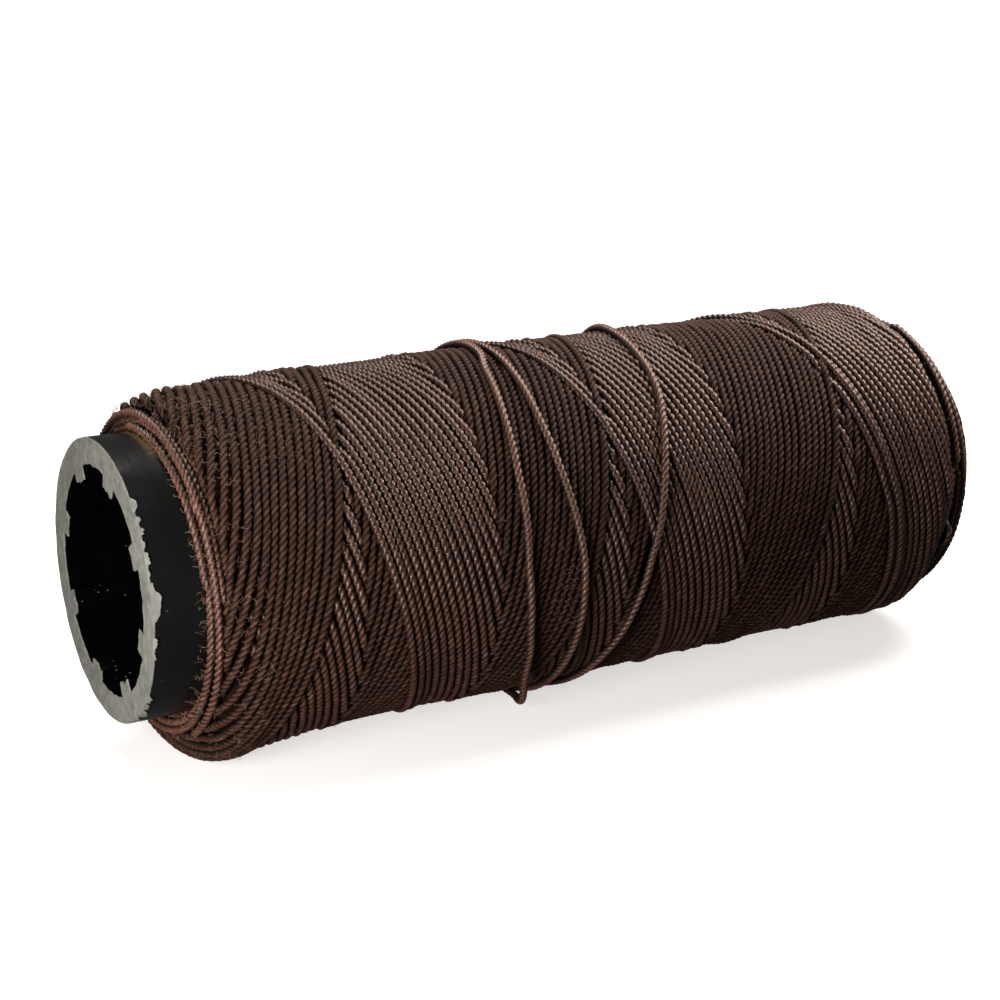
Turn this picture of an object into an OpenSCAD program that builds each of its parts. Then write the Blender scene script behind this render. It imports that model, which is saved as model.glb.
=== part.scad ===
// A spool of waxed thread: a black ribbed plastic tube with brown thread cross-wound on it.
// It lies on its side. The tube's axis runs along X, and the bare end of the tube is at -X.
// The origin is on the surface it lies on, under the middle of the tube.

/* [Core tube] */
// Length of the tube from end face to end face
tube_len = 112; // [92:1:160]
// Outside diameter of the tube
tube_od = 32; // [26:0.5:40]
// Thickness of the tube's wall between the ribs
tube_wall = 3; // [2:0.25:4]
// Number of ribs inside the tube
rib_count = 8; // [4:1:10]
// Width of a rib
rib_w = 3; // [2:0.25:4]
// Height of a rib above the inside of the wall
rib_h = 1.5; // [1:0.25:2.5]
// Turn of the first rib from the horizontal, in degrees
rib_turn = 28; // [0:1:44]

/* [Winding] */
// Diameter of the waxed thread
thread_d = 1; // [0.6:0.1:1.4]
// Bare tube that shows at the near end
bare_near = 6; // [4:0.5:14]
// Bare tube that shows at the far end
bare_far = 1.7; // [1:0.1:6]
// Depth of thread on the tube
wind_depth = 5; // [4:0.25:8]
// Depth of the outer layers, which are all that can be seen
outer_depth = 2; // [1.6:0.1:3]
// Length of the rounded shoulder at the near end
near_shoulder = 3.4; // [2:0.2:6]
// Length of the rounded shoulder at the far end
far_shoulder = 4.8; // [2:0.2:6]
// How far the near end swells past the rest of the winding
near_swell = 0.8; // [0:0.1:1.5]
// Length of the swelling beyond the near shoulder
swell_len = 16; // [8:1:24]

/* [Finishing turns] */
// How far the finishing turns bed into the layer under them
turn_bed = 0.4; // [0.2:0.05:0.8]

/* [Hidden] */

$fn = 96;
eps = 0.01;

tube_r = tube_od / 2;
bore_r = tube_r - tube_wall;
rib_tip_r = bore_r - rib_h;

wind_r = tube_r + wind_depth;
layer_r = wind_r - outer_depth;
wind_from = bare_near;
wind_to = tube_len - bare_far;

// whichever stands out the most rests on the surface: the swollen end or the finishing turns
axis_z = wind_r + max(near_swell, thread_d - turn_bed);

// steps along a shoulder or along the swelling
curve_steps = 10;

// The last turns of thread, which lie loose on the others: [degrees round the tube, place along it].
// 90 degrees is the top, 180 is the -Y side and 270 is the underside.
turn_route = [
    [300, 80.6], [360, 75.0], [420, 69.4], [450, 66.6], [480, 65.2], [500, 63.4], [540, 58.9],
    [585, 55.2], [640, 52.2], [700, 49.8], [760, 48.6], [800, 48.4], [835, 47.7], [855, 47.5],
    [885, 48.8], [910, 49.8], [930, 50.0], [990, 50.0], [1060, 48.6], [1120, 47.6], [1175, 46.6],
    [1190, 44.8], [1215, 43.2], [1235, 42.4], [1265, 42.3], [1285, 43.5], [1305, 44.7],
    [1330, 47.6], [1370, 49.2], [1400, 49.6]
];
turn_step = 12;
// degrees over which each end dips into the outer layers, and how deep it goes
dip_angle = 24;
dip_depth = outer_depth / 2;

route_from = turn_route[0][0];
route_to = turn_route[len(turn_route) - 1][0];

function smooth(t) = (1 - cos(180 * t)) / 2;

// Place along the tube at an angle of the route, with the corners of the list eased
function turn_x(a) = (lookup(a - turn_step, turn_route) + lookup(a, turn_route)
    + lookup(a + turn_step, turn_route)) / 3;

function dip(a) = dip_depth * max(0, 1 - (a - route_from) / dip_angle, 1 - (route_to - a) / dip_angle);

function turn_r(a) = wind_r + thread_d / 2 - turn_bed - dip(a);

function turn_point(a) = [turn_x(a), turn_r(a) * cos(a), turn_r(a) * sin(a)];

// One ring of a round tube: across the tube's axis and away from it, square to the thread
function turn_ring(a, sides) =
    let (p = turn_point(a), ahead = turn_point(a + 2) - turn_point(a - 2), t = ahead / norm(ahead),
        out = [0, cos(a), sin(a)], side = cross(t, out), u = side / norm(side), v = cross(u, t))
    [for (i = [0 : sides - 1]) p + thread_d / 2 * (u * cos(360 * i / sides) + v * sin(360 * i / sides))];

// Stands the shapes made about Z along the tube's own axis
module along_axis() {
    translate([-tube_len / 2, 0, axis_z]) rotate([0, 90, 0]) children();
}

// One rib's section: a bar whose tip is an arc about the tube's axis
module rib_section() {
    intersection() {
        translate([rib_tip_r - rib_h, -rib_w / 2]) square([2 * rib_h + tube_wall / 2, rib_w]);
        difference() {
            circle(r = bore_r + tube_wall / 2);
            circle(r = rib_tip_r);
        }
    }
}

module core_tube() {
    color([0.05, 0.05, 0.055])
        along_axis()
            linear_extrude(height = tube_len)
                union() {
                    difference() {
                        circle(r = tube_r);
                        circle(r = bore_r);
                    }
                    // once turned to +X, the ribs count from the -Y side up over the top
                    for (i = [0 : rib_count - 1])
                        rotate([0, 0, -90 - rib_turn - i * 360 / rib_count]) rib_section();
                }
}

// Outline of the wound thread, [radius, place along the tube], without the tube's surface
near_top = wind_r + near_swell;
near_curve = [for (i = [0 : curve_steps])
    let (a = 90 * i / curve_steps)
    [tube_r + (near_top - tube_r) * sin(a), wind_from + near_shoulder * (1 - cos(a))]];
swell_curve = [for (i = [1 : curve_steps])
    let (t = i / curve_steps)
    [near_top - near_swell * smooth(t), wind_from + near_shoulder + swell_len * t]];
far_curve = [for (i = [0 : curve_steps])
    let (a = 90 * i / curve_steps)
    [tube_r + wind_depth * cos(a), wind_to - far_shoulder * (1 - sin(a))]];

// The inner layers stop short of the shoulders, so that the outer layers close over them
inner_from = wind_from + near_shoulder;
inner_to = wind_to - far_shoulder;

module inner_layers() {
    color([0.16, 0.1, 0.08])
        along_axis()
            translate([0, 0, inner_from])
                difference() {
                    cylinder(r = layer_r, h = inner_to - inner_from);
                    translate([0, 0, -eps]) cylinder(r = tube_r, h = inner_to - inner_from + 2 * eps);
                }
}

module outer_layers() {
    color([0.24, 0.16, 0.13])
        along_axis()
            rotate_extrude()
                polygon(concat(near_curve, swell_curve, far_curve,
                    [[tube_r, inner_to], [layer_r, inner_to], [layer_r, inner_from], [tube_r, inner_from]]));
}

module finishing_turns() {
    sides = 8;
    rings = [for (a = [route_from : turn_step : route_to]) turn_ring(a, sides)];
    count = len(rings);
    points = [for (ring = rings) each ring];
    walls = [for (j = [0 : count - 2], i = [0 : sides - 1])
        let (k = (i + 1) % sides, a = j * sides, b = a + sides)
        each [[a + i, a + k, b + k], [a + i, b + k, b + i]]];
    first = [for (i = [1 : sides - 2]) [0, i + 1, i]];
    last = let (a = (count - 1) * sides) [for (i = [1 : sides - 2]) [a, a + i, a + i + 1]];
    color([0.36, 0.25, 0.2])
        translate([-tube_len / 2, 0, axis_z])
            polyhedron(points = points, faces = concat(walls, first, last));
}

core_tube();
inner_layers();
outer_layers();
finishing_turns();
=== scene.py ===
import bpy, bmesh
import numpy as np
from math import radians, pi, sin, cos, sqrt
from mathutils import Vector, Matrix, noise


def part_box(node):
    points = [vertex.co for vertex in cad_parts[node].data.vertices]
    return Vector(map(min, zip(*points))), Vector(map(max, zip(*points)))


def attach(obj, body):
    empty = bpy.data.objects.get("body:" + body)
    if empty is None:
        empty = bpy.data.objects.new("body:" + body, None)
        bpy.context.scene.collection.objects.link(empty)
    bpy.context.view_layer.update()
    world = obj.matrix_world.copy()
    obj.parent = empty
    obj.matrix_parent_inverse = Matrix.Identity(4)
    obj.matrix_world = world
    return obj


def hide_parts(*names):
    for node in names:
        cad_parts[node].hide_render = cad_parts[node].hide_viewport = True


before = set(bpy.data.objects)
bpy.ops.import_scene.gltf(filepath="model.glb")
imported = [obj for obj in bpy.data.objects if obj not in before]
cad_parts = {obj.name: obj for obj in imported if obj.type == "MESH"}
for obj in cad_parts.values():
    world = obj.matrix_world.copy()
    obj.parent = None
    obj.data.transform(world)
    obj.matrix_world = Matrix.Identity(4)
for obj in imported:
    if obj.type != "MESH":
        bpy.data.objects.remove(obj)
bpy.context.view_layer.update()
mm = 0.001
rng = np.random.default_rng(11)

tubeLo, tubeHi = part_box("core_tube")
axisZ = (tubeLo[2] + tubeHi[2]) / 2 / mm      # height of the tube's axis, in mm
endX = tubeLo[0] / mm                         # bare end of the tube
tubeLength = (tubeHi[0] - tubeLo[0]) / mm
tubeR = (tubeHi[2] - tubeLo[2]) / 2 / mm


def collect(obj, mat):
    bpy.context.scene.collection.objects.link(obj)
    obj.data.materials.append(mat)
    return obj


def fromBmesh(name, bm, mat, smooth=True):    # the bmesh is in mm, the object in metres
    bmesh.ops.scale(bm, vec=(mm, mm, mm), verts=bm.verts)
    mesh = bpy.data.meshes.new(name)
    bm.to_mesh(mesh)
    bm.free()
    mesh.polygons.foreach_set("use_smooth", [smooth] * len(mesh.polygons))
    return collect(bpy.data.objects.new(name, mesh), mat)


def fromCurve(curve):         # a mesh of a curve with its thickness
    holder = bpy.data.objects.new(curve.name, curve)
    bpy.context.scene.collection.objects.link(holder)
    mesh = bpy.data.meshes.new_from_object(holder.evaluated_get(bpy.context.evaluated_depsgraph_get()))
    bpy.data.objects.remove(holder)
    mesh.materials.clear()
    return mesh


class Maths:                  # a value in a material, so that sums can be written plainly
    def __init__(self, tree, socket):
        self.tree, self.socket = tree, socket

    def op(self, kind, *others):
        return nodeOf(self.tree, "ShaderNodeMath", {"operation": kind}, [self, *others])

    def __add__(self, o): return self.op("ADD", o)
    def __sub__(self, o): return self.op("SUBTRACT", o)
    def __mul__(self, o): return self.op("MULTIPLY", o)
    def __rsub__(self, o): return nodeOf(self.tree, "ShaderNodeMath", {"operation": "SUBTRACT"}, [o, self])
    def __gt__(self, o): return self.op("GREATER_THAN", o)
    def __lt__(self, o): return self.op("LESS_THAN", o)
    __radd__, __rmul__ = __add__, __mul__

    def held(self):           # kept between 0 and 1
        return self.op("MINIMUM", 1.0).op("MAXIMUM", 0.0)


def nodeOf(tree, kind, settings=None, inputs=(), output=0):
    node = tree.nodes.new(kind)
    for key, value in (settings or {}).items():
        setattr(node, key, value)
    pairs = inputs.items() if isinstance(inputs, dict) else enumerate(inputs)
    for key, value in pairs:
        if isinstance(value, Maths):
            tree.links.new(value.socket, node.inputs[key])
        else:
            node.inputs[key].default_value = value
    return Maths(tree, node.outputs[output])


def newMaterial(name, fixed):
    mat = bpy.data.materials.new(name)
    mat.use_nodes = True
    shader = mat.node_tree.nodes["Principled BSDF"]
    for key, value in fixed.items():
        shader.inputs[key].default_value = value
    return mat, mat.node_tree, shader


def feed(tree, shader, key, value):
    tree.links.new(value.socket, shader.inputs[key])


def mixColours(tree, factor, a, b):
    a, b = [c if isinstance(c, Maths) else (*c, 1) for c in (a, b)]
    return nodeOf(tree, "ShaderNodeMix", {"data_type": "RGBA"}, {0: factor, 6: a, 7: b}, output=2)


bakeMap = {                   # the unrolled threads lie side by side in rows on one square map
    "width": 75.0, "rows": 36, "rowHeight": 3.57,            # in mm
    "margin": 0.06,           # part of a row left free at each side
    "capsInRow": 75, "capWide": 0.35, "capHigh": 0.12,       # closed ends have rows of their own
}

threadLook = {
    "brown": (0.112, 0.050, 0.034),
    "pale": (0.30, 0.165, 0.120),
    "dark": (0.0030, 0.0014, 0.0010),
    "shine": (1.0, 0.80, 0.70),
    "roughness": 0.42, "gloss": 0.6, "wax": 0.55,
}

threadGrain = {
    "blotch": 130.0, "strand": 900.0,         # how fine the uneven dye is, over the package and along a strand
    "fibresAlong": 1.3, "fibresAcross": 11,   # fibres in a mm of unrolled thread
    "fibreRelief": 0.00010,   # in metres
    "waxRoughness": 0.26,
}


def threadMaterial(name, look):
    g = threadGrain
    shine = (*look["shine"], 1)
    mat, tree, shader = newMaterial(name, {
        "Specular Tint": shine, "Specular IOR Level": look["gloss"], "IOR": 1.45,
        "Coat Weight": look["wax"], "Coat Roughness": g["waxRoughness"], "Coat Tint": shine})
    place = nodeOf(tree, "ShaderNodeTexCoord", output="Object")
    valley = nodeOf(tree, "ShaderNodeAttribute", {"attribute_name": "ply"}, output=2)
    underShade = nodeOf(tree, "ShaderNodeAttribute", {"attribute_name": "shadeBelow"}, output=2)
    blotch = nodeOf(tree, "ShaderNodeTexNoise", None, {"Vector": place, "Scale": g["blotch"], "Detail": 4.0})
    strand = nodeOf(tree, "ShaderNodeTexNoise", None, {"Vector": place, "Scale": g["strand"], "Detail": 2.0})
    unrolled = nodeOf(tree, "ShaderNodeUVMap", {"uv_map": "OFBake"})
    fibres = (bakeMap["width"] * g["fibresAlong"], bakeMap["rows"] * bakeMap["rowHeight"] * g["fibresAcross"], 0)
    drawnOut = nodeOf(tree, "ShaderNodeVectorMath", {"operation": "MULTIPLY"}, {0: unrolled, 1: fibres})
    fibre = nodeOf(tree, "ShaderNodeTexNoise", None, {
        "Vector": drawnOut, "Scale": 1.0, "Detail": 3.0, "Roughness": 0.6})
    base = mixColours(tree, ((blotch - 0.42) * 2.4).held() * 0.5, look["brown"], look["dark"])
    base = mixColours(tree, ((strand - 0.5) * 2.2).held(), base, look["pale"])
    # fibre tone, turned pale only on the ply crests: a painted highlight along each crest
    base = mixColours(tree, ((fibre - 0.46) * 2.0).held() * (1 - valley), base, look["pale"])
    # painted shade: the valleys between the plies are darkened towards the dark colour
    base = mixColours(tree, (valley * 0.85).held(), base, look["dark"])
    # painted shade on the under side of each strand, where it goes down among the others
    base = mixColours(tree, (underShade * 1.1).held(), base, look["dark"])
    feed(tree, shader, "Base Color", base)
    feed(tree, shader, "Roughness", (look["roughness"] + (fibre - 0.5) * 0.5 + underShade * 0.3).held())
    relief = {"Strength": 0.8, "Distance": g["fibreRelief"], "Height": fibre}
    feed(tree, shader, "Normal", nodeOf(tree, "ShaderNodeBump", None, relief))
    return mat


# the two ways the thread crosses take the light differently in gloss and wax; their base colours also differ as
# painted light and shade: the strands crossing back are darker (painted shade), the turns round the ends and the last
# turns on top lighter (painted light)
threadMats = {
    "forward": threadMaterial("waxed brown thread", {
        **threadLook, "brown": (0.085, 0.037, 0.025), "pale": (0.26, 0.14, 0.10), "gloss": 0.45, "wax": 0.45}),
    "back": threadMaterial("waxed brown thread, crossing back", {
        **threadLook, "brown": (0.058, 0.026, 0.017), "pale": (0.18, 0.095, 0.066),
        "roughness": 0.58, "gloss": 0.2, "wax": 0.0}),
    "edge": threadMaterial("waxed brown thread at the ends", {
        **threadLook, "brown": (0.145, 0.067, 0.046), "roughness": 0.45, "gloss": 0.55, "wax": 0.3}),
    "loose": threadMaterial("waxed brown thread on top", {
        **threadLook, "brown": (0.185, 0.090, 0.062), "pale": (0.36, 0.21, 0.155), "wax": 0.4}),
}

winding = {
    "threadR": 0.5,           # radius of the thread, in mm
    "pressedR": 0.455,        # radius where threads press together
    "lay": 2.55,              # length of one turn of the plies
    "lead": 33.7,             # way along the tube in one turn
    "turns": 3,               # turns in one stroke
    "shift": 11.2,            # degrees that each pair of strokes starts after the last
    "pairs": 33,              # pairs of strokes, enough to cover the package
    "lastNear": 318.1,        # where the newest stroke leaves the bare end, in degrees
    "nearTurn": 0.70, "farTurn": 101.8,      # ends of the strokes along the surface
    "round": 16.5,            # degrees over which a stroke turns back
    "wander": 0.05,           # how far a stroke strays
    "footAgain": (8, 16, 24, 32),            # pairs after which the foot of each shoulder gets more turns
    "edgeHoops": (0.25, 1.05, 1.8, 2.55, 3.3, 4.0, 4.7, 5.4),      # old turns round the shoulders, from the foot up
    "columns": 720, "cell": 0.1,             # steps round the package, and mm along its surface
    "firm": 1.45, "give": 0.35,              # height over which the stack is squashed, and how much of it stays
    "topFirm": 2.05,          # the same for the last turns
    "shoulderFirm": 0.35,     # how much lower it is squashed on the shoulders
    "dive": 0.75,             # how far the end of a length that shows goes down among the others
    "bite": 0.40,             # how far one thread presses into the next where they cross
    "lowest": 0.12,           # nothing that shows lies lower than this over the surface under it
}

packing = {                   # how strands press on one another
    "aroundR": 21,            # radius taken for slopes and bridges, in mm
    "reach": 0.62,            # how far to each side a strand meets others
    "covers": 0.9,            # part of its radius over which it hides what it lies on
    "shoulder": 9,            # length of shoulder that is packed harder
    "shoulderGive": 0.6,      # part of the give that is lost there
    "topGive": 0.25,          # give of the last turns
    "settleOver": (7, 5),     # samples over which a settled strand is eased, the first and the second time
    "diveOver": 7,            # samples over which an end goes down
    "seen": 0.45,             # a strand shows where this much of it, in mm to each side, has cells of its own
}

hoopTurns = {                 # turns round the shoulders, in degrees and mm
    "start": 137, "otherEnd": 70, "again": 200, "arc": 230,
    "climb": 0.35, "wander": 0.07, "lowest": 0.2, "nextStart": 53, "footHoops": 3,
}

stray = {                     # how far a stroke lies from its place, in mm; much of it comes from the stroke under it
    "kept": 0.85, "turned": -22, "each": 0.035, "every": 90, "least": -0.11, "most": 0.16, "limit": 0.6,
}

lastStroke = {"from": 68, "over": 14, "outBy": 2.4, "stop": 2.5}     # the newest stroke ends nearer the far end
below, above = -9, 99         # heights that nothing reaches
softened = np.array([1, 2, 3, 4, 3, 2, 1]) / 16

# surface under these strokes: place from the bare end, radius
under = [(6.9, 15.5), (7.0, 16.6), (7.35, 17.6), (8.0, 18.5), (9.0, 19.05), (10.5, 19.25), (14, 19.2), (21, 19.0),
         (28, 18.9), (35, 18.9), (42, 19.1), (49, 19.15), (56, 19.05), (70, 19.05), (83, 18.95), (97, 19.05),
         (103, 19.0), (105.6, 18.8), (107.2, 18.1), (108.3, 17.2), (108.9, 16.3), (109.0, 15.5)]


def underSurface():           # the corners of the list above are eased
    pts = np.array(under, float)
    t = np.r_[0, np.cumsum(np.hypot(*np.diff(pts, axis=0).T))]
    fine = np.linspace(0, t[-1], 4000)
    window = np.hanning(161)
    window /= window.sum()
    half = len(window) // 2

    def ease(a):
        e = np.r_[2 * a[0] - a[half:0:-1], a, 2 * a[-1] - a[-2:-2 - half:-1]]
        return np.convolve(e, window, "valid")
    x, r = ease(np.interp(fine, t, pts[:, 0])), ease(np.interp(fine, t, pts[:, 1]))
    s = np.r_[0, np.cumsum(np.hypot(np.diff(x), np.diff(r)))]
    u = np.arange(0, s[-1], winding["cell"])
    x, r = np.interp(u, s, x), np.interp(u, s, r)
    dx, dr = np.gradient(x, u), np.gradient(r, u)
    n = np.hypot(dx, dr)
    return u, x, r, -dr / n, dx / n


along, placeX, placeR, outX, outR = underSurface()
columns = winding["columns"]
turnStep = 2 * pi / columns
height = np.zeros((columns, len(along)))
newest = np.full((columns, len(along)), -1, int)
strokes = []


def alongAt(x):               # way along the surface of a place between the shoulders
    level = np.flatnonzero(outR > 0.9)
    return np.interp(x, placeX[level], along[level])


def wobble(count, scale, size):               # a smooth stray that changes every so many samples
    knots = rng.normal(0, 1, int(count / scale) + 4)
    t = np.linspace(0, len(knots) - 2.001, count)
    i = t.astype(int)
    f = t - i
    f = f * f * (3 - 2 * f)
    return size * (knots[i] * (1 - f) + knots[i + 1] * f)


def cellsUnder(way):          # cells to each side of a strand, and how far away they are
    cell = winding["cell"]
    m = int(packing["reach"] / cell) + 1
    j = np.round(way / cell).astype(int)[:, None] + np.arange(-m, m + 1)
    j = np.clip(j, 0, len(along) - 1)
    return j, j * cell - way[:, None]


def lay(angles, way, kind, lift=0.0, taut=(2, 4)):           # lays a stroke on what is there; way is along the surface
    w, p = winding, packing
    pressed, r = w["pressedR"], w["threadR"]
    col = np.round(angles / turnStep).astype(int) % columns
    lean = 1 / np.sqrt(1 + (np.gradient(way, angles) / p["aroundR"]) ** 2)
    j, away = cellsUnder(way)
    d = away * lean[:, None]
    rise = np.sqrt(np.maximum(pressed**2 - d**2, 0))
    h = np.where(np.abs(d) < pressed, height[col[:, None], j] + rise, below).max(1)
    for k in taut:            # it is pulled straight over hollows
        bridge = (h[:-2 * k] + h[2 * k:]) / 2 - (k * turnStep * p["aroundR"]) ** 2 / (2 * p["aroundR"])
        h[k:-k] = np.maximum(h[k:-k], bridge)
    end = np.clip(1 - np.minimum(way, along[-1] - way) / p["shoulder"], 0, 1)
    if kind == "loose":
        h = np.where(h > w["topFirm"], w["topFirm"] + (h - w["topFirm"]) * p["topGive"], h)
    else:
        firm = w["firm"] - end * w["shoulderFirm"]
        h = np.where(h > firm, firm + (h - firm) * w["give"] * (1 - p["shoulderGive"] * end), h)
    h = np.convolve(np.r_[[h[0]] * 3, h, [h[-1]] * 3], softened, "valid") + lift
    top = np.where(np.abs(d) < r, h[:, None] + np.sqrt(np.maximum(r**2 - d**2, 0)) - (r - pressed), below)
    cols = np.broadcast_to(col[:, None], j.shape)
    win = top > height[cols, j]
    height[cols[win], j[win]] = top[win]
    cover = np.abs(d) < p["covers"] * r
    newest[cols[cover], j[cover]] = len(strokes)
    strokes.append({"kind": kind, "angles": angles, "way": way, "h": h, "col": col, "lean": lean})


# degrees over which each pair of strokes turns back, at the bare end and at the far end
roundings = np.stack([winding["round"] + wobble(winding["pairs"], 4, 1.3) for end in (0, 1)])


def strokePath(number, forward):
    w = winding
    perDegree = w["lead"] / 360
    start = w["lastNear"] + (number - w["pairs"] + 1) * w["shift"] + (0 if forward else w["shift"] / 2)
    span = 360 * w["turns"]
    k = np.arange(int(np.ceil(radians(start) / turnStep)), int(radians(start + span) / turnStep) + 1)
    angles = k * turnStep
    done = (np.degrees(angles) - start) / span
    length = w["farTurn"] - w["nearTurn"]
    near = (done if forward else 1 - done) * length
    far = length - near
    nearRound, farRound = roundings[:, number] * perDegree
    nearWay = w["nearTurn"] + np.sqrt(near**2 + nearRound**2)
    farWay = w["farTurn"] - np.sqrt(far**2 + farRound**2)
    return angles, np.where(near < far, nearWay, farWay), near


def layHoops(places, turn):
    t = hoopTurns
    for end in (0, 1):
        for i, foot in enumerate(places):
            for again in (0, 1):
                first = t["start"] * i + t["otherEnd"] * end + t["again"] * again + turn
                k = np.arange(int(radians(first) / turnStep), int(radians(first + t["arc"]) / turnStep))
                climb = np.linspace(-t["climb"], t["climb"], len(k))
                off = foot + t["climb"] * again + climb + wobble(len(k), 80, t["wander"])
                off = np.maximum(off, t["lowest"])
                lay(k * turnStep, along[-1] - off if end else off, "edge", taut=(2,))


def windPackage():
    w = winding
    samples = w["turns"] * columns + 2
    layHoops(w["edgeHoops"], 0)
    strays = {True: np.zeros(samples), False: np.zeros(samples)}
    for number in range(w["pairs"]):
        last = number == w["pairs"] - 1
        for forward in (True, False)[:1 if last else 2]:
            angles, way, near = strokePath(number, forward)
            old = np.roll(strays[forward], stray["turned"])
            fresh = rng.normal(0, stray["each"]) + wobble(samples, stray["every"], w["wander"])
            fresh = np.clip(fresh, stray["least"], stray["most"])
            strays[forward] = np.clip(stray["kept"] * old + fresh, -stray["limit"], stray["limit"])
            way = way + strays[forward][:len(way)]
            if last:
                out = np.clip((near - lastStroke["from"]) / lastStroke["over"], 0, 1)
                way = np.minimum(way + lastStroke["outBy"] * out**2, along[-1] - lastStroke["stop"])
            lay(angles, way, "forward" if forward else "back")
        if number in w["footAgain"]:
            layHoops(w["edgeHoops"][:hoopTurns["footHoops"]], hoopTurns["nextStart"] * number)


windPackage()
print("laid", len(strokes), "strokes")

# last turns, which lie loose on the package: degrees round the tube, place from the bare end
looseTurns = {
    "route": [
        (300, 80.6), (360, 75.0), (420, 69.4), (450, 66.6), (465, 65.8), (480, 65.2), (491, 64.5), (498, 63.6),
        (510, 62.3), (521, 61.1), (532, 60.0), (542, 58.8), (555, 57.8), (567, 56.8), (585, 55.2), (640, 52.2),
        (700, 49.8), (760, 48.6), (800, 48.4), (818, 48.2), (835, 47.8), (853, 47.5), (870, 47.9), (885, 48.7),
        (900, 49.5), (915, 49.8), (930, 50.0), (990, 50.0), (1060, 48.9), (1120, 47.9), (1165, 47.3), (1179, 46.4),
        (1188, 44.9), (1201, 44.0), (1213, 43.2), (1230, 42.5), (1245, 42.4), (1258, 42.2), (1270, 42.7),
        (1281, 43.3), (1290, 44.1), (1304, 44.9), (1316, 46.4), (1330, 48.6), (1350, 49.8), (1400, 50.0)],
    "eased": 11,              # samples to each side over which the corners of the route are eased
    "slack": 0.12,            # how far they stand off what they lie on
    "loop": (1318, 13, 1.5),  # where one stands well off the package, how wide and how high
}


def smoothed(h, reach):
    window = np.hanning(2 * reach + 3)[1:-1]
    return np.convolve(np.r_[[h[0]] * reach, h, [h[-1]] * reach], window / window.sum(), "valid")


def layLooseTurns():
    pts = np.array(looseTurns["route"], float)
    k = np.arange(int(radians(pts[0, 0]) / turnStep), int(radians(pts[-1, 0]) / turnStep))
    degs = np.degrees(k * turnStep)
    x = smoothed(np.interp(degs, pts[:, 0], pts[:, 1]), looseTurns["eased"])
    middle, wide, high = looseTurns["loop"]
    lift = looseTurns["slack"] + high * np.exp(-((degs - middle) / wide) ** 2)
    lay(k * turnStep, alongAt(x), "loose", lift=lift)


def settle():                 # from the newest down, each stroke is pushed under what crosses over it
    w, r = winding, winding["threadR"]
    ceiling = np.full(height.shape, float(above))
    for s in reversed(strokes):
        j, away = cellsUnder(s["way"])
        d = away * s["lean"][:, None]
        cols = np.broadcast_to(s["col"][:, None], j.shape)
        inside = np.abs(d) < packing["covers"] * r
        rise = np.sqrt(np.maximum(r**2 - d**2, 0))
        limit = np.where(inside, ceiling[cols, j] - rise + w["bite"], above).min(1)
        for reach in packing["settleOver"]:
            s["h"] = np.maximum(smoothed(np.minimum(s["h"], limit), reach), w["lowest"])
        low = np.where(inside, s["h"][:, None] - rise, above)
        win = low < ceiling[cols, j]
        ceiling[cols[win], j[win]] = low[win]


def seenParts(number, margin=9):              # first and last sample of each length of a stroke that isn't buried
    s = strokes[number]
    j, away = cellsUnder(s["way"])
    cols = np.broadcast_to(s["col"][:, None], j.shape)
    own = ((newest[cols, j] == number) & (np.abs(away) < packing["seen"])).sum(1) >= 2
    near = np.convolve(own, np.ones(2 * margin + 1), "same") > 0
    ends = np.flatnonzero(np.diff(np.r_[0, near.astype(int), 0]))
    return [(a, b) for a, b in zip(ends[::2], ends[1::2]) if own[a:b].sum() > 3]


# the shoulder at the bare end has sunk, and it stands nearer the end at the back: places and depths in mm
sag = {"from": 5.5, "full": 9.0, "to": 24.0, "drop": 0.95}

askew = {"full": 8.0, "to": 17.0, "by": 0.55}


def sagged(x, r, angle):
    rising, falling = (x - sag["from"]) / (sag["full"] - sag["from"]), (sag["to"] - x) / (sag["to"] - sag["full"])
    part = np.clip(np.minimum(rising, falling), 0, 1)
    return r - sag["drop"] * part**2 * (3 - 2 * part) * np.sin(angle)


def shifted(x, angle):
    part = np.clip((askew["to"] - x) / (askew["to"] - askew["full"]), 0, 1)
    return x - askew["by"] * part**2 * (3 - 2 * part) * (1 + np.cos(angle))


def onPackage(angles, way, h):                # place in mm of a point at a height over the surface under the strokes
    offFloor = 0.05
    x = np.interp(way, along, placeX) + h * np.interp(way, along, outX)
    r = sagged(x, np.interp(way, along, placeR) + h * np.interp(way, along, outR), angles)
    r = np.maximum(r, tubeR + winding["pressedR"])
    z = np.maximum(r * np.sin(angles), -axisZ + winding["threadR"] + offFloor)
    return np.stack([shifted(x, angles) + endX, r * np.cos(angles), z + axisZ], 1)


strandLook = {
    "rings": 8,               # rings in one turn of the plies
    "corners": 12,            # corners round the thread, four on each ply
    "ridge": 1.04, "valley": 0.68, "full": 0.6,              # radii as parts of the thread's, and how full a ply is
    "twistWander": (25, 0.35), "thickWander": (9, 0.018),    # how often, in rings, and how much
    "endSize": 0.5,           # an end is drawn in to this much of the thread
    "shadeStart": 0.82, "shadeSpread": 0.60,      # how far up the strand the painted shade on its under side reaches
}


def strandProfile():
    look = strandLook
    curve = bpy.data.curves.new("thread section", "CURVE")
    curve.dimensions = "2D"
    spline = curve.splines.new("POLY")
    n = look["corners"]
    spline.points.add(n - 1)
    for i, point in enumerate(spline.points):
        a = 2 * pi * i / n
        lobe = 0.5 + 0.5 * cos(3 * a)
        r = winding["threadR"] * mm * (look["valley"] + (look["ridge"] - look["valley"]) * lobe ** look["full"])
        point.co = (r * cos(a), r * sin(a), 0, 1)
    spline.use_cyclic_u = True
    return bpy.data.objects.new("thread section", curve)


section = strandProfile()
bpy.context.scene.collection.objects.link(section)


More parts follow.
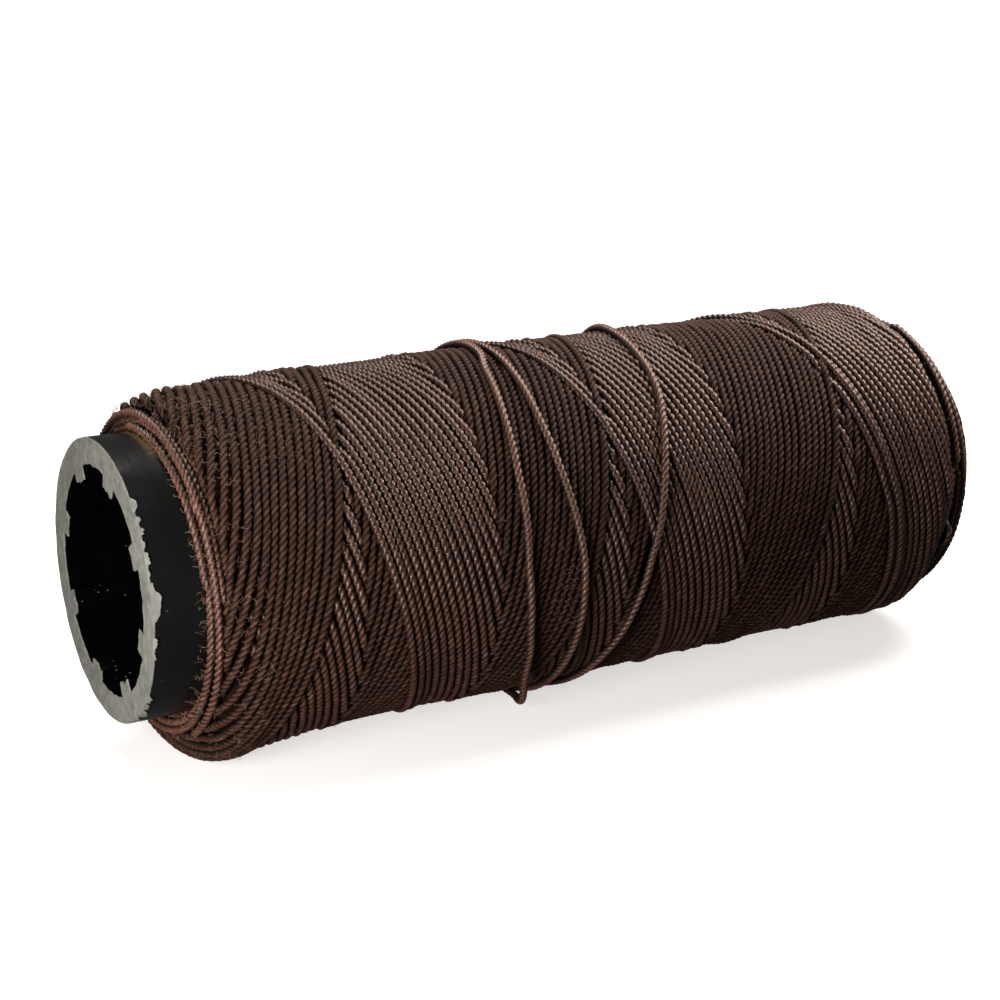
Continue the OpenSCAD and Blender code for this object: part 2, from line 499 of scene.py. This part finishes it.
def bakeRows(mesh, corners, ringGap):         # unrolls the threads and lays them in rows on one square map
    loops, faces = len(mesh.loops), len(mesh.polygons)
    vert, first, sides = np.empty(loops, int), np.empty(faces, int), np.empty(faces, int)
    mesh.loops.foreach_get("vertex_index", vert)
    mesh.polygons.foreach_get("loop_start", first)
    mesh.polygons.foreach_get("loop_total", sides)
    face = np.repeat(np.arange(faces), sides)
    ring, corner = vert // corners, vert % corners
    firstRing = np.minimum.reduceat(ring, first)[face]
    closing = (corner == 0) & (np.maximum.reduceat(corner, first)[face] == corners - 1)
    across = np.where(closing, corners, corner)
    perRow, capsInRow, margin = int(bakeMap["width"] / ringGap), bakeMap["capsInRow"], bakeMap["margin"]
    rows = ring.max() // perRow + 1
    caps = np.cumsum(sides > 4) - 1
    allRows = max(bakeMap["rows"], rows + caps[-1] // capsInRow + 1)
    u = (ring - firstRing // perRow * perRow + 0.5) / (perRow + 2)
    v = (firstRing // perRow + margin + (1 - 2 * margin) * across / corners) / allRows
    isCap = sides[face] > 4
    turn = 2 * pi * corner / corners
    capU = (caps[face] % capsInRow + 0.5 + bakeMap["capWide"] * np.cos(turn)) / capsInRow
    capV = (rows + caps[face] // capsInRow + 0.5 + bakeMap["capHigh"] * np.sin(turn)) / allRows
    uv = mesh.uv_layers.new(name="OFBake")
    uv.data.foreach_set("uv", np.stack([np.where(isCap, capU, u), np.where(isCap, capV, v)], 1).ravel())


def strandCurve(name, lengths, ringGap):      # also gives the middle of each ring and the way out there
    curve = bpy.data.curves.new(name, "CURVE")
    curve.dimensions = "3D"
    curve.bevel_mode, curve.bevel_object = "OBJECT", section
    curve.twist_mode = "MINIMUM"
    look, centres, outs = strandLook, [], []
    for pts, out in lengths:
        s = np.r_[0, np.cumsum(np.linalg.norm(np.diff(pts, axis=0), axis=1))]
        n = max(int(s[-1] / ringGap), 3)
        at = np.linspace(0, s[-1], n)
        p = np.stack([np.interp(at, s, pts[:, i]) for i in range(3)], 1) * mm
        spline = curve.splines.new("POLY")
        spline.points.add(n - 1)
        spline.points.foreach_set("co", np.c_[p, np.ones(n)].ravel())
        twist = rng.uniform(0, 2 * pi) + np.arange(n) * 2 * pi / look["rings"] + wobble(n, *look["twistWander"])
        spline.points.foreach_set("tilt", twist)
        thick = 1 + wobble(n, *look["thickWander"])
        thick[0] = thick[-1] = look["endSize"]
        spline.points.foreach_set("radius", thick)
        centres.append(p)
        outs.append(np.stack([np.interp(at, s, out[:, i]) for i in range(3)], 1))
    return curve, np.concatenate(centres), np.concatenate(outs)


def strandMesh(name, lengths, mat):           # lengths: points in mm and the way out of the package at each
    look, corners = strandLook, strandLook["corners"]
    ringGap = winding["lay"] / look["rings"]
    curve, centres, outs = strandCurve(name, lengths, ringGap)
    mesh = fromCurve(curve)
    bm = bmesh.new()
    bm.from_mesh(mesh)
    bmesh.ops.holes_fill(bm, edges=[e for e in bm.edges if e.is_boundary])
    bmesh.ops.recalc_face_normals(bm, faces=bm.faces)
    bm.to_mesh(mesh)
    bm.free()
    mesh.name = name
    mesh.polygons.foreach_set("use_smooth", [True] * len(mesh.polygons))
    obj = collect(bpy.data.objects.new(name, mesh), mat)
    centres, outs = np.repeat(centres, corners, 0), np.repeat(outs, corners, 0)
    co = np.empty(len(mesh.vertices) * 3)
    mesh.vertices.foreach_get("co", co)
    k = np.arange(len(mesh.vertices)) % corners
    # ply is 1 in the valleys between the plies and 0 on their crests; the material uses it for painted shade in the
    # valleys and a painted highlight on the crests
    ply = 0.5 - 0.5 * np.cos(3 * 2 * pi * k / corners)
    rise = ((co.reshape(-1, 3) - centres) * outs).sum(1) / (winding["threadR"] * mm)
    # the side of each strand facing into the package is marked for painted shade
    low = np.clip((look["shadeStart"] - rise) / look["shadeSpread"], 0, 1)
    mesh.attributes.new("ply", "FLOAT", "POINT").data.foreach_set("value", ply)
    mesh.attributes.new("shadeBelow", "FLOAT", "POINT").data.foreach_set("value", low)
    bakeRows(mesh, corners, ringGap)
    return obj


def lengthOf(pts):
    return np.linalg.norm(np.diff(pts, axis=0), axis=1).sum()


def gatherStrands():          # the lengths that show, by kind
    found = {"forward": [], "back": [], "edge": [], "loose": []}
    for number, s in enumerate(strokes):
        for a, b in seenParts(number):
            k = np.arange(b - a)
            toEnd = np.minimum(k, k[::-1])
            h = s["h"][a:b] - winding["dive"] * np.clip(1 - toEnd / packing["diveOver"], 0, 1) ** 2
            pts = onPackage(s["angles"][a:b], s["way"][a:b], h)
            out = onPackage(s["angles"][a:b], s["way"][a:b], h + 1) - pts
            found[s["kind"]].append((pts, out / np.linalg.norm(out, axis=1)[:, None]))
    return found


layLooseTurns()
settle()
strands = gatherStrands()
print("metres of thread that show", {k: round(sum(lengthOf(p) for p, out in v) / 1000, 2) for k, v in strands.items()})

pieceLimit = 2000.0           # mm of thread in one piece, so that no piece is too heavy

strandPieces = {              # kind of stroke: name of its pieces, node they stand for
    "forward": ("threadForward", "outer_layers"), "back": ("threadBack", "outer_layers"),
    "edge": ("threadEdge", "outer_layers"), "loose": ("finishingTurns", "finishing_turns"),
}


def inBatches(parts):
    batches, run = [[]], 0
    for pts, out in parts:
        size = lengthOf(pts)
        if run + size > pieceLimit:
            batches.append([])
            run = 0
        batches[-1].append((pts, out))
        run += size
    return batches


def makeWinding():
    pieces = []
    for kind, parts in strands.items():
        label, node = strandPieces[kind]
        for i, batch in enumerate(inBatches(parts)):
            obj = strandMesh(f"{label}{i + 1}", batch, threadMats[kind])
            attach(obj, "root")
            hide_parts(node)
            pieces.append(obj)
    return pieces


windingPieces = makeWinding()
bpy.data.objects.remove(section)
print("wound", len(windingPieces), "pieces,", sum(len(o.data.polygons) for o in windingPieces) * 2, "triangles")


def spunProfile(name, points, mat, steps=128):               # points: place from the bare end and radius, in mm
    bm = bmesh.new()
    verts = [bm.verts.new((x + endX, -r, axisZ)) for x, r in points]
    edges = [bm.edges.new(pair) for pair in zip(verts, verts[1:] + verts[:1])]
    bmesh.ops.spin(bm, geom=verts + edges, cent=(0, 0, axisZ), axis=(1, 0, 0), dvec=(0, 0, 0), angle=2 * pi,
                   steps=steps, use_merge=True)
    for v in bm.verts:
        y, z = v.co.y, v.co.z - axisZ
        r, angle = sqrt(y * y + z * z), np.arctan2(z, y)
        if r > tubeR + 0.1:   # all but the side on the tube follows the package's own shape
            r = sagged(v.co.x - endX, r, angle)
            v.co = (shifted(v.co.x - endX, angle) + endX, r * cos(angle), r * sin(angle) + axisZ)
    bmesh.ops.recalc_face_normals(bm, faces=bm.faces)
    return fromBmesh(name, bm, mat)


# painted shade: the buried thread under the strands is near black, standing for the shade in the gaps between them
# rather than its own colour
coreMat = threadMaterial("buried thread", {
    **threadLook, "brown": (0.009, 0.0045, 0.0033), "pale": (0.012, 0.006, 0.005), "dark": (0.003, 0.0015, 0.001),
    "roughness": 0.9, "gloss": 0.1, "wax": 0.0})
buriedR, buriedIn = 16.02, 0.15              # just clear of the tube, and a little in from the foot of the package
buried = [(x + buriedIn, r) for x, r in under[1:-1]]
buriedCore = spunProfile("buriedThread", [(buried[0][0], buriedR)] + buried + [(buried[-1][0], buriedR)], coreMat)
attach(buriedCore, "root")
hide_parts("inner_layers")

tube = {
    "wall": 3.0, "ribs": 8, "ribWidth": 3.0, "ribHeight": 1.5, "ribTurn": 28.0,
    "ribSteps": 6, "gapSteps": 18,           # facets across a rib and between two ribs
    "edge": 0.08,             # rounding of the sawn edges
    "sawWander": 0.10,        # how far the saw cut strays
    "ragged": 0.30,           # how ragged the saw has left the inside
    "ribRagged": 1.6, "wallRagged": 0.6,     # the ribs tear more than the wall
    "sawnZone": 0.3,          # length at each end that the saw has marked
    "farNicks": -0.3, "bareNicks": 0.6,      # how much of the nicks listed below each end shows
    "rimWander": 0.07,
}

# degrees round the rim, degrees wide, mm out
sawNicks = [(27, 4, -0.5), (18, 3, -0.3), (-8, 3, -0.6), (-37, 3, -0.35), (-47, 3, -0.4), (58, 3, 0.2), (66, 3, -0.2),
            (160, 8, -0.2), (185, 12, -0.25), (210, 10, -0.2)]

# torn flakes on the rim: degrees round, degrees wide, reach along the tube, mm they stand off
rimFlakes = [
    (46, 6, 0.55, 0.42), (38.5, 5, 0.35, 0.55), (35, 3, 0.5, 0.35), (30, 4, 0.3, 0.25), (24.5, 5, 0.42, 0.3),
    (19, 3, 0.25, 0.25), (8, 15, 0.95, 0.22), (-8, 5, 0.35, 0.3), (-14, 4, 0.25, 0.2), (-36, 5, 0.4, 0.35),
    (-42, 4, 0.5, 0.2), (-48, 6, 0.6, 0.3), (-56, 4, 0.4, 0.25)]


def ringPoint(x, r, turn):    # turn in degrees from the -Y side up over the top
    return Vector((x + endX, -r * cos(radians(turn)), axisZ + r * sin(radians(turn))))


def fromAxis(co):
    return sqrt(co.y**2 + (co.z - axisZ) ** 2)


def ribbedTube():             # spun in steps, with the ribs extruded inwards
    t = tube
    innerR = tubeR - t["wall"]
    places = [0, 0.25, 1.2, 3, 8, 30, 56, 82, 104, 109, 110.8, tubeLength - 0.25, tubeLength]
    outline = [(x, tubeR) for x in places] + [(x, innerR) for x in reversed(places)]
    half = np.degrees(np.arcsin(t["ribWidth"] / 2 / innerR))
    gap = 360 / t["ribs"] - 2 * half
    bm = bmesh.new()
    verts = [bm.verts.new(ringPoint(x, r, t["ribTurn"] - half)) for x, r in outline]
    edges = [bm.edges.new(pair) for pair in zip(verts, verts[1:] + verts[:1])]
    geom, ribFaces = verts + edges, []
    for i in range(t["ribs"]):
        for sweep, steps, isRib in ((2 * half, t["ribSteps"], True), (gap, t["gapSteps"], False)):
            before = set(bm.faces)
            out = bmesh.ops.spin(bm, geom=geom, cent=(0, 0, axisZ), axis=(1, 0, 0), dvec=(0, 0, 0),
                                 angle=-radians(sweep), steps=steps)
            geom = out["geom_last"]
            if isRib:
                ribFaces += [f for f in bm.faces if f not in before]
    ribFaces = [f for f in ribFaces if max(fromAxis(v.co) for v in f.verts) < innerR + 0.1]
    raised = bmesh.ops.extrude_face_region(bm, geom=ribFaces)
    bmesh.ops.delete(bm, geom=ribFaces, context="FACES")
    for v in [g for g in raised["geom"] if isinstance(g, bmesh.types.BMVert)]:
        r = fromAxis(v.co)
        k = (r - t["ribHeight"]) / r
        v.co.y, v.co.z = v.co.y * k, (v.co.z - axisZ) * k + axisZ
    bmesh.ops.remove_doubles(bm, verts=bm.verts, dist=0.002)
    bmesh.ops.recalc_face_normals(bm, faces=bm.faces)
    return bm


plasticLook = {
    "black": ((0.0018, 0.002, 0.002), (0.005, 0.006, 0.0058)),
    "dust": (0.16, 0.155, 0.135),
    "wax": (0.24, 0.165, 0.055),              # rubbed off on the collar by the thread
    "sawn": ((0.105, 0.111, 0.102), (0.185, 0.192, 0.176)), "sawnPatch": (0.075, 0.078, 0.072),
    "gloss": 0.2, "boreGloss": 0.04, "boreShade": 0.15,      # the bore is duller, and its black is darkened by this much as painted shade
    "sawnDepth": 0.00020, "waxFrom": 0.0040,  # in metres from the end
    "relief": 0.00008,
}


def tubeMaterial(name, sawnAll=False, gloss=plasticLook["gloss"], depth=1.0):
    look = plasticLook
    mat, tree, shader = newMaterial(name, {"IOR": 1.5, "Specular IOR Level": gloss})
    place = nodeOf(tree, "ShaderNodeTexCoord", output="Object")
    x, z = [nodeOf(tree, "ShaderNodeSeparateXYZ", None, [place], output=axis) for axis in (0, 2)]
    half = tubeLength / 2 * mm
    fine = nodeOf(tree, "ShaderNodeTexNoise", None, {"Vector": place, "Scale": 1100.0, "Detail": 4.0})
    soft = nodeOf(tree, "ShaderNodeTexNoise", None, {"Vector": place, "Scale": 160.0, "Detail": 4.0})
    specks = nodeOf(tree, "ShaderNodeTexVoronoi", {"feature": "F1"}, {"Vector": place, "Scale": 1300.0})
    sawn = ((x.op("ABSOLUTE") - (half - look["sawnDepth"])) * 12000 + (fine - 0.5)).held()
    dust = (specks < 0.12) * (soft > 0.58)
    # depth under 1 darkens the black as painted shade; it is used for the bore
    low, high = [[c * depth for c in colour] for colour in look["black"]]
    black = mixColours(tree, soft, low, high)
    black = mixColours(tree, dust * 0.6, black, look["dust"])
    aboveOrBelow = ((z * (1 / mm) - axisZ).op("ABSOLUTE") * 0.9 - 13.2).held()
    wax = ((x + (half - look["waxFrom"])) * 700).held() * aboveOrBelow * (x < 0)
    black = mixColours(tree, wax * 0.8, black, look["wax"])
    grey = mixColours(tree, ((fine - 0.3) * 2.2).held(), *look["sawn"])
    grey = mixColours(tree, ((soft - 0.52) * 5).held() * 0.55, grey, look["sawnPatch"])
    feed(tree, shader, "Base Color", grey if sawnAll else mixColours(tree, sawn, black, grey))
    roughness = 0.62 + (fine - 0.5) * 0.2 if sawnAll else (0.24 + soft * 0.16 + sawn * 0.35).held()
    feed(tree, shader, "Roughness", roughness)
    relief = {"Strength": 0.35, "Distance": look["relief"], "Height": fine}
    feed(tree, shader, "Normal", nodeOf(tree, "ShaderNodeBump", None, relief))
    return mat


tubeMat = tubeMaterial("black moulded plastic")
boreMat = tubeMaterial("black plastic of the bore", gloss=plasticLook["boreGloss"], depth=plasticLook["boreShade"])


def awayFrom(turn, at):       # degrees between two places round the tube
    return abs((turn - at + 180) % 360 - 180)


def makeTube():
    t, bm = tube, ribbedTube()
    for v in bm.verts:
        x, y, z = v.co.x - endX, -v.co.y, v.co.z - axisZ
        r, turn = sqrt(y * y + z * z), np.degrees(np.arctan2(z, y))
        if t["sawnZone"] < x < tubeLength - t["sawnZone"]:
            continue
        bareEnd = x < 1
        v.co.x += t["sawWander"] * noise.noise(Vector((y * 0.35, z * 0.35, x * 0.1))) * (1 if bareEnd else -1)
        if r > tubeR - 0.2:   # the rim has nicks
            grow = sum(high * max(0, 1 - awayFrom(turn, at) / wide) for at, wide, high in sawNicks)
            grow *= t["bareNicks"] if bareEnd else t["farNicks"]
            grow += t["rimWander"] * noise.noise(Vector((turn * 0.5, 0, 3)))
        else:                 # the inside is torn
            torn = t["ragged"] * (t["ribRagged"] if r < tubeR - t["wall"] - 0.3 else t["wallRagged"])
            coarse, fine = [noise.noise(Vector((turn * k, x * 0.01, seed))) for k, seed in ((0.19, 9), (0.6, 4))]
            grow = torn * (coarse + 0.5 * fine)
        v.co.y, v.co.z = -y * (1 + grow / r), z * (1 + grow / r) + axisZ
    for f in bm.faces:        # the second material is the bore's
        f.material_index = int(max(fromAxis(v.co) for v in f.verts) < tubeR - 1)
    obj = fromBmesh("coreTube", bm, tubeMat)
    obj.data.materials.append(boreMat)
    return obj


def makeFlakes():
    rooted, thick = (0.02, 0.05), 0.09        # how far they start inside the rim, and their thickness, in mm
    bm = bmesh.new()
    for at, wide, reach, stand in rimFlakes:
        for v in bmesh.ops.create_grid(bm, x_segments=10, y_segments=3, size=0.5)["verts"]:
            i, j = v.co.x + 0.5, v.co.y + 0.5
            ragged = (0.35 + 0.65 * sin(pi * i) ** 0.6) * (1 + 0.7 * noise.noise(Vector((i * 4.1, at, 0))))
            x, r = j * reach * ragged - rooted[0], tubeR - rooted[1] + stand * j * ragged
            v.co = ringPoint(x, r, at + (i - 0.5) * wide)
    bmesh.ops.solidify(bm, geom=bm.faces[:], thickness=thick)
    bmesh.ops.recalc_face_normals(bm, faces=bm.faces)
    return fromBmesh("rimFlakes", bm, tubeMaterial("torn plastic", sawnAll=True), smooth=False)


coreTube = makeTube()
bevel = coreTube.modifiers.new("sawn edges", "BEVEL")
bevel.width, bevel.segments = tube["edge"] * mm, 2
bevel.limit_method, bevel.angle_limit = "ANGLE", radians(50)
weighted = coreTube.modifiers.new("even shading", "WEIGHTED_NORMAL")
weighted.keep_sharp = True
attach(coreTube, "root")
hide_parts("core_tube")
flakes = makeFlakes()
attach(flakes, "root")
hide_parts("core_tube")
print("made the tube")

fuzz = {                      # how many, shortest and longest in mm, how curly, thickness in mm
    "collar": (90, 0.5, 2.0, 0.9, 0.022),
    "shoulder": (420, 0.5, 1.7, 0.6, 0.016),
    "package": (900, 0.4, 1.4, 0.5, 0.012),
    "frayed": (55, 0.6, 1.8, 0.5, 0.014),
    "outline": (700, 0.3, 1.1, 0.6, 0.014),
}
fuzzRng = np.random.default_rng(5)


def fuzzMaterial():
    mat, tree, shader = newMaterial("loose fibres", {"Roughness": 0.6})
    place = nodeOf(tree, "ShaderNodeTexCoord", output="Object")
    patch = nodeOf(tree, "ShaderNodeTexNoise", None, {"Vector": place, "Scale": 700.0, "Detail": 2.0})
    feed(tree, shader, "Base Color", mixColours(tree, patch, (0.08, 0.042, 0.028), (0.25, 0.17, 0.11)))
    return mat


def rootOf(kind):             # where a loose fibre starts, and the way out there
    if kind == "collar":
        angle = radians(180 - fuzzRng.normal(20, 42))
        x, r = 6.1 - abs(fuzzRng.normal(0, 0.5)), tubeR + 0.05
        return np.array([x + endX, r * cos(angle), r * sin(angle) + axisZ]), np.array([-0.8, cos(angle), sin(angle)])
    angle = radians(fuzzRng.uniform(80, 250) if kind == "shoulder" else fuzzRng.uniform(0, 360))
    way = fuzzRng.uniform(0.3, 6.5) if kind == "shoulder" else fuzzRng.uniform(1, along[-1] - 1)
    if kind == "outline":
        angle, way = radians(fuzzRng.uniform(55, 135)), fuzzRng.uniform(0.3, 16)
    if kind == "frayed":
        angle, way = radians(fuzzRng.normal(190, 8)), float(alongAt(fuzzRng.normal(47.5, 0.8)))
    high = height[int(angle / turnStep) % columns, int(way / winding["cell"])] - 0.1
    ends = onPackage(np.array([angle, angle]), np.array([way, way]), np.array([high, high + 1]))
    return ends[0], ends[1] - ends[0]


def makeFuzz(kind, mat):
    count, shortest, longest, curl, thick = fuzz[kind]
    joints, offFloor = 6, 0.1
    curve = bpy.data.curves.new("fuzz", "CURVE")
    curve.dimensions, curve.bevel_depth, curve.bevel_resolution, curve.use_fill_caps = "3D", thick * mm, 0, True
    for i in range(count):
        place, out = rootOf(kind)
        heading = out * 0.6 + fuzzRng.normal(0, 0.7, 3)
        step = fuzzRng.uniform(shortest, longest) / joints
        spline = curve.splines.new("POLY")
        spline.points.add(joints)
        for point in spline.points:
            point.co = (*(place * mm), 1)
            heading = heading / np.linalg.norm(heading) + fuzzRng.normal(0, curl, 3)
            place = place + heading / np.linalg.norm(heading) * step
            place[2] = max(place[2], offFloor)
    obj = collect(bpy.data.objects.new(kind + "Fuzz", fromCurve(curve)), mat)
    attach(obj, "root")
    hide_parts("outer_layers")


fuzzMat = fuzzMaterial()
for kind in fuzz:
    makeFuzz(kind, fuzzMat)
print("added loose fibres")

# degrees round and up, place in mm from the tube's middle, lens in mm
view = {"azimuth": -30.025, "elevation": 16.413, "place": (-122.39, -202.72, 70.80), "lens": 71.84}


def addCamera():
    a, e = radians(view["azimuth"]), radians(view["elevation"])
    back = Vector((sin(a) * cos(e), -cos(a) * cos(e), sin(e)))
    right = Vector((cos(a), sin(a), 0))
    up = back.cross(right)
    data = bpy.data.cameras.new("camera")
    data.lens, data.sensor_width, data.sensor_fit = view["lens"], 36, "HORIZONTAL"
    data.clip_start, data.clip_end = 0.01, 20
    cam = bpy.data.objects.new("camera", data)
    x, y, z = view["place"]
    turn = Matrix((right, up, back)).transposed().to_4x4()
    cam.matrix_world = Matrix.Translation((x * mm, y * mm, (z + axisZ) * mm)) @ turn
    bpy.context.scene.collection.objects.link(cam)
    bpy.context.scene.camera = cam


addCamera()


def addFloor():
    mat, tree, shader = newMaterial("floor", {
        "Base Color": (0.56, 0.56, 0.56, 1), "Roughness": 0.7, "Specular IOR Level": 0.0,
        "Emission Color": (1, 0.97, 0.95, 1), "Emission Strength": 0.65})
    bm = bmesh.new()
    bmesh.ops.create_grid(bm, x_segments=1, y_segments=1, size=20000)
    floor = fromBmesh("floor", bm, mat, smooth=False)
    floor.visible_diffuse = floor.visible_glossy = False      # a bright floor would wash out the dark underside


addFloor()


def addSurround():            # a white room, far enough away to hold the whole floor that shows
    mat, tree, shader = newMaterial("surround", {
        "Base Color": (0, 0, 0, 1), "Emission Color": (1, 1, 1, 1), "Emission Strength": 1.0})
    bm = bmesh.new()
    bmesh.ops.create_uvsphere(bm, u_segments=32, v_segments=16, radius=12000)
    bmesh.ops.reverse_faces(bm, faces=bm.faces)
    surround = fromBmesh("surround", bm, mat)
    surround.visible_diffuse = surround.visible_glossy = surround.visible_shadow = False


addSurround()

lampColour = (1.0, 0.92, 0.865)              # a little warm


def sunLight(name, fromSide, strength, spread):
    data = bpy.data.lights.new(name, "SUN")
    data.energy, data.angle, data.color = strength, radians(spread), lampColour
    lamp = bpy.data.objects.new(name, data)
    lamp.rotation_mode = "QUATERNION"
    lamp.rotation_quaternion = Vector(fromSide).to_track_quat("Z", "Y")
    bpy.context.scene.collection.objects.link(lamp)


def nearLamp(name, place, aim, size, power):
    data = bpy.data.lights.new(name, "AREA")
    data.size, data.energy, data.color = size, power, lampColour
    lamp = bpy.data.objects.new(name, data)
    lamp.location = place
    lamp.rotation_mode = "QUATERNION"
    lamp.rotation_quaternion = (Vector(place) - Vector(aim)).to_track_quat("Z", "Y")
    bpy.context.scene.collection.objects.link(lamp)


light = {
    "overhead": ((-0.05, 0.40, 0.91), 3.15, 24),             # where it comes from, strength, how wide in degrees
    "front": ((-0.55, -0.75, 0.35), 0.10, 60),
    "side": ((-0.115, -0.070, 0.032), (-0.045, 0, 0.02), 0.05, 0.20),      # place, aim and size in metres, watts
    "far": ((0.11, -0.01, 0.16), (0.045, 0, 0.03), 0.08, 0.40),
    "room": 0.11,
}
sunLight("overhead", *light["overhead"])
sunLight("front", *light["front"])
nearLamp("side", *light["side"])
nearLamp("far", *light["far"])
world = bpy.data.worlds.new("room")
world.use_nodes = True
world.node_tree.nodes["Background"].inputs["Color"].default_value = (1, 1, 1, 1)
world.node_tree.nodes["Background"].inputs["Strength"].default_value = light["room"]
bpy.context.scene.world = world
bpy.context.scene.view_settings.view_transform = "Standard"
print("set up the camera, the floor and the lights")
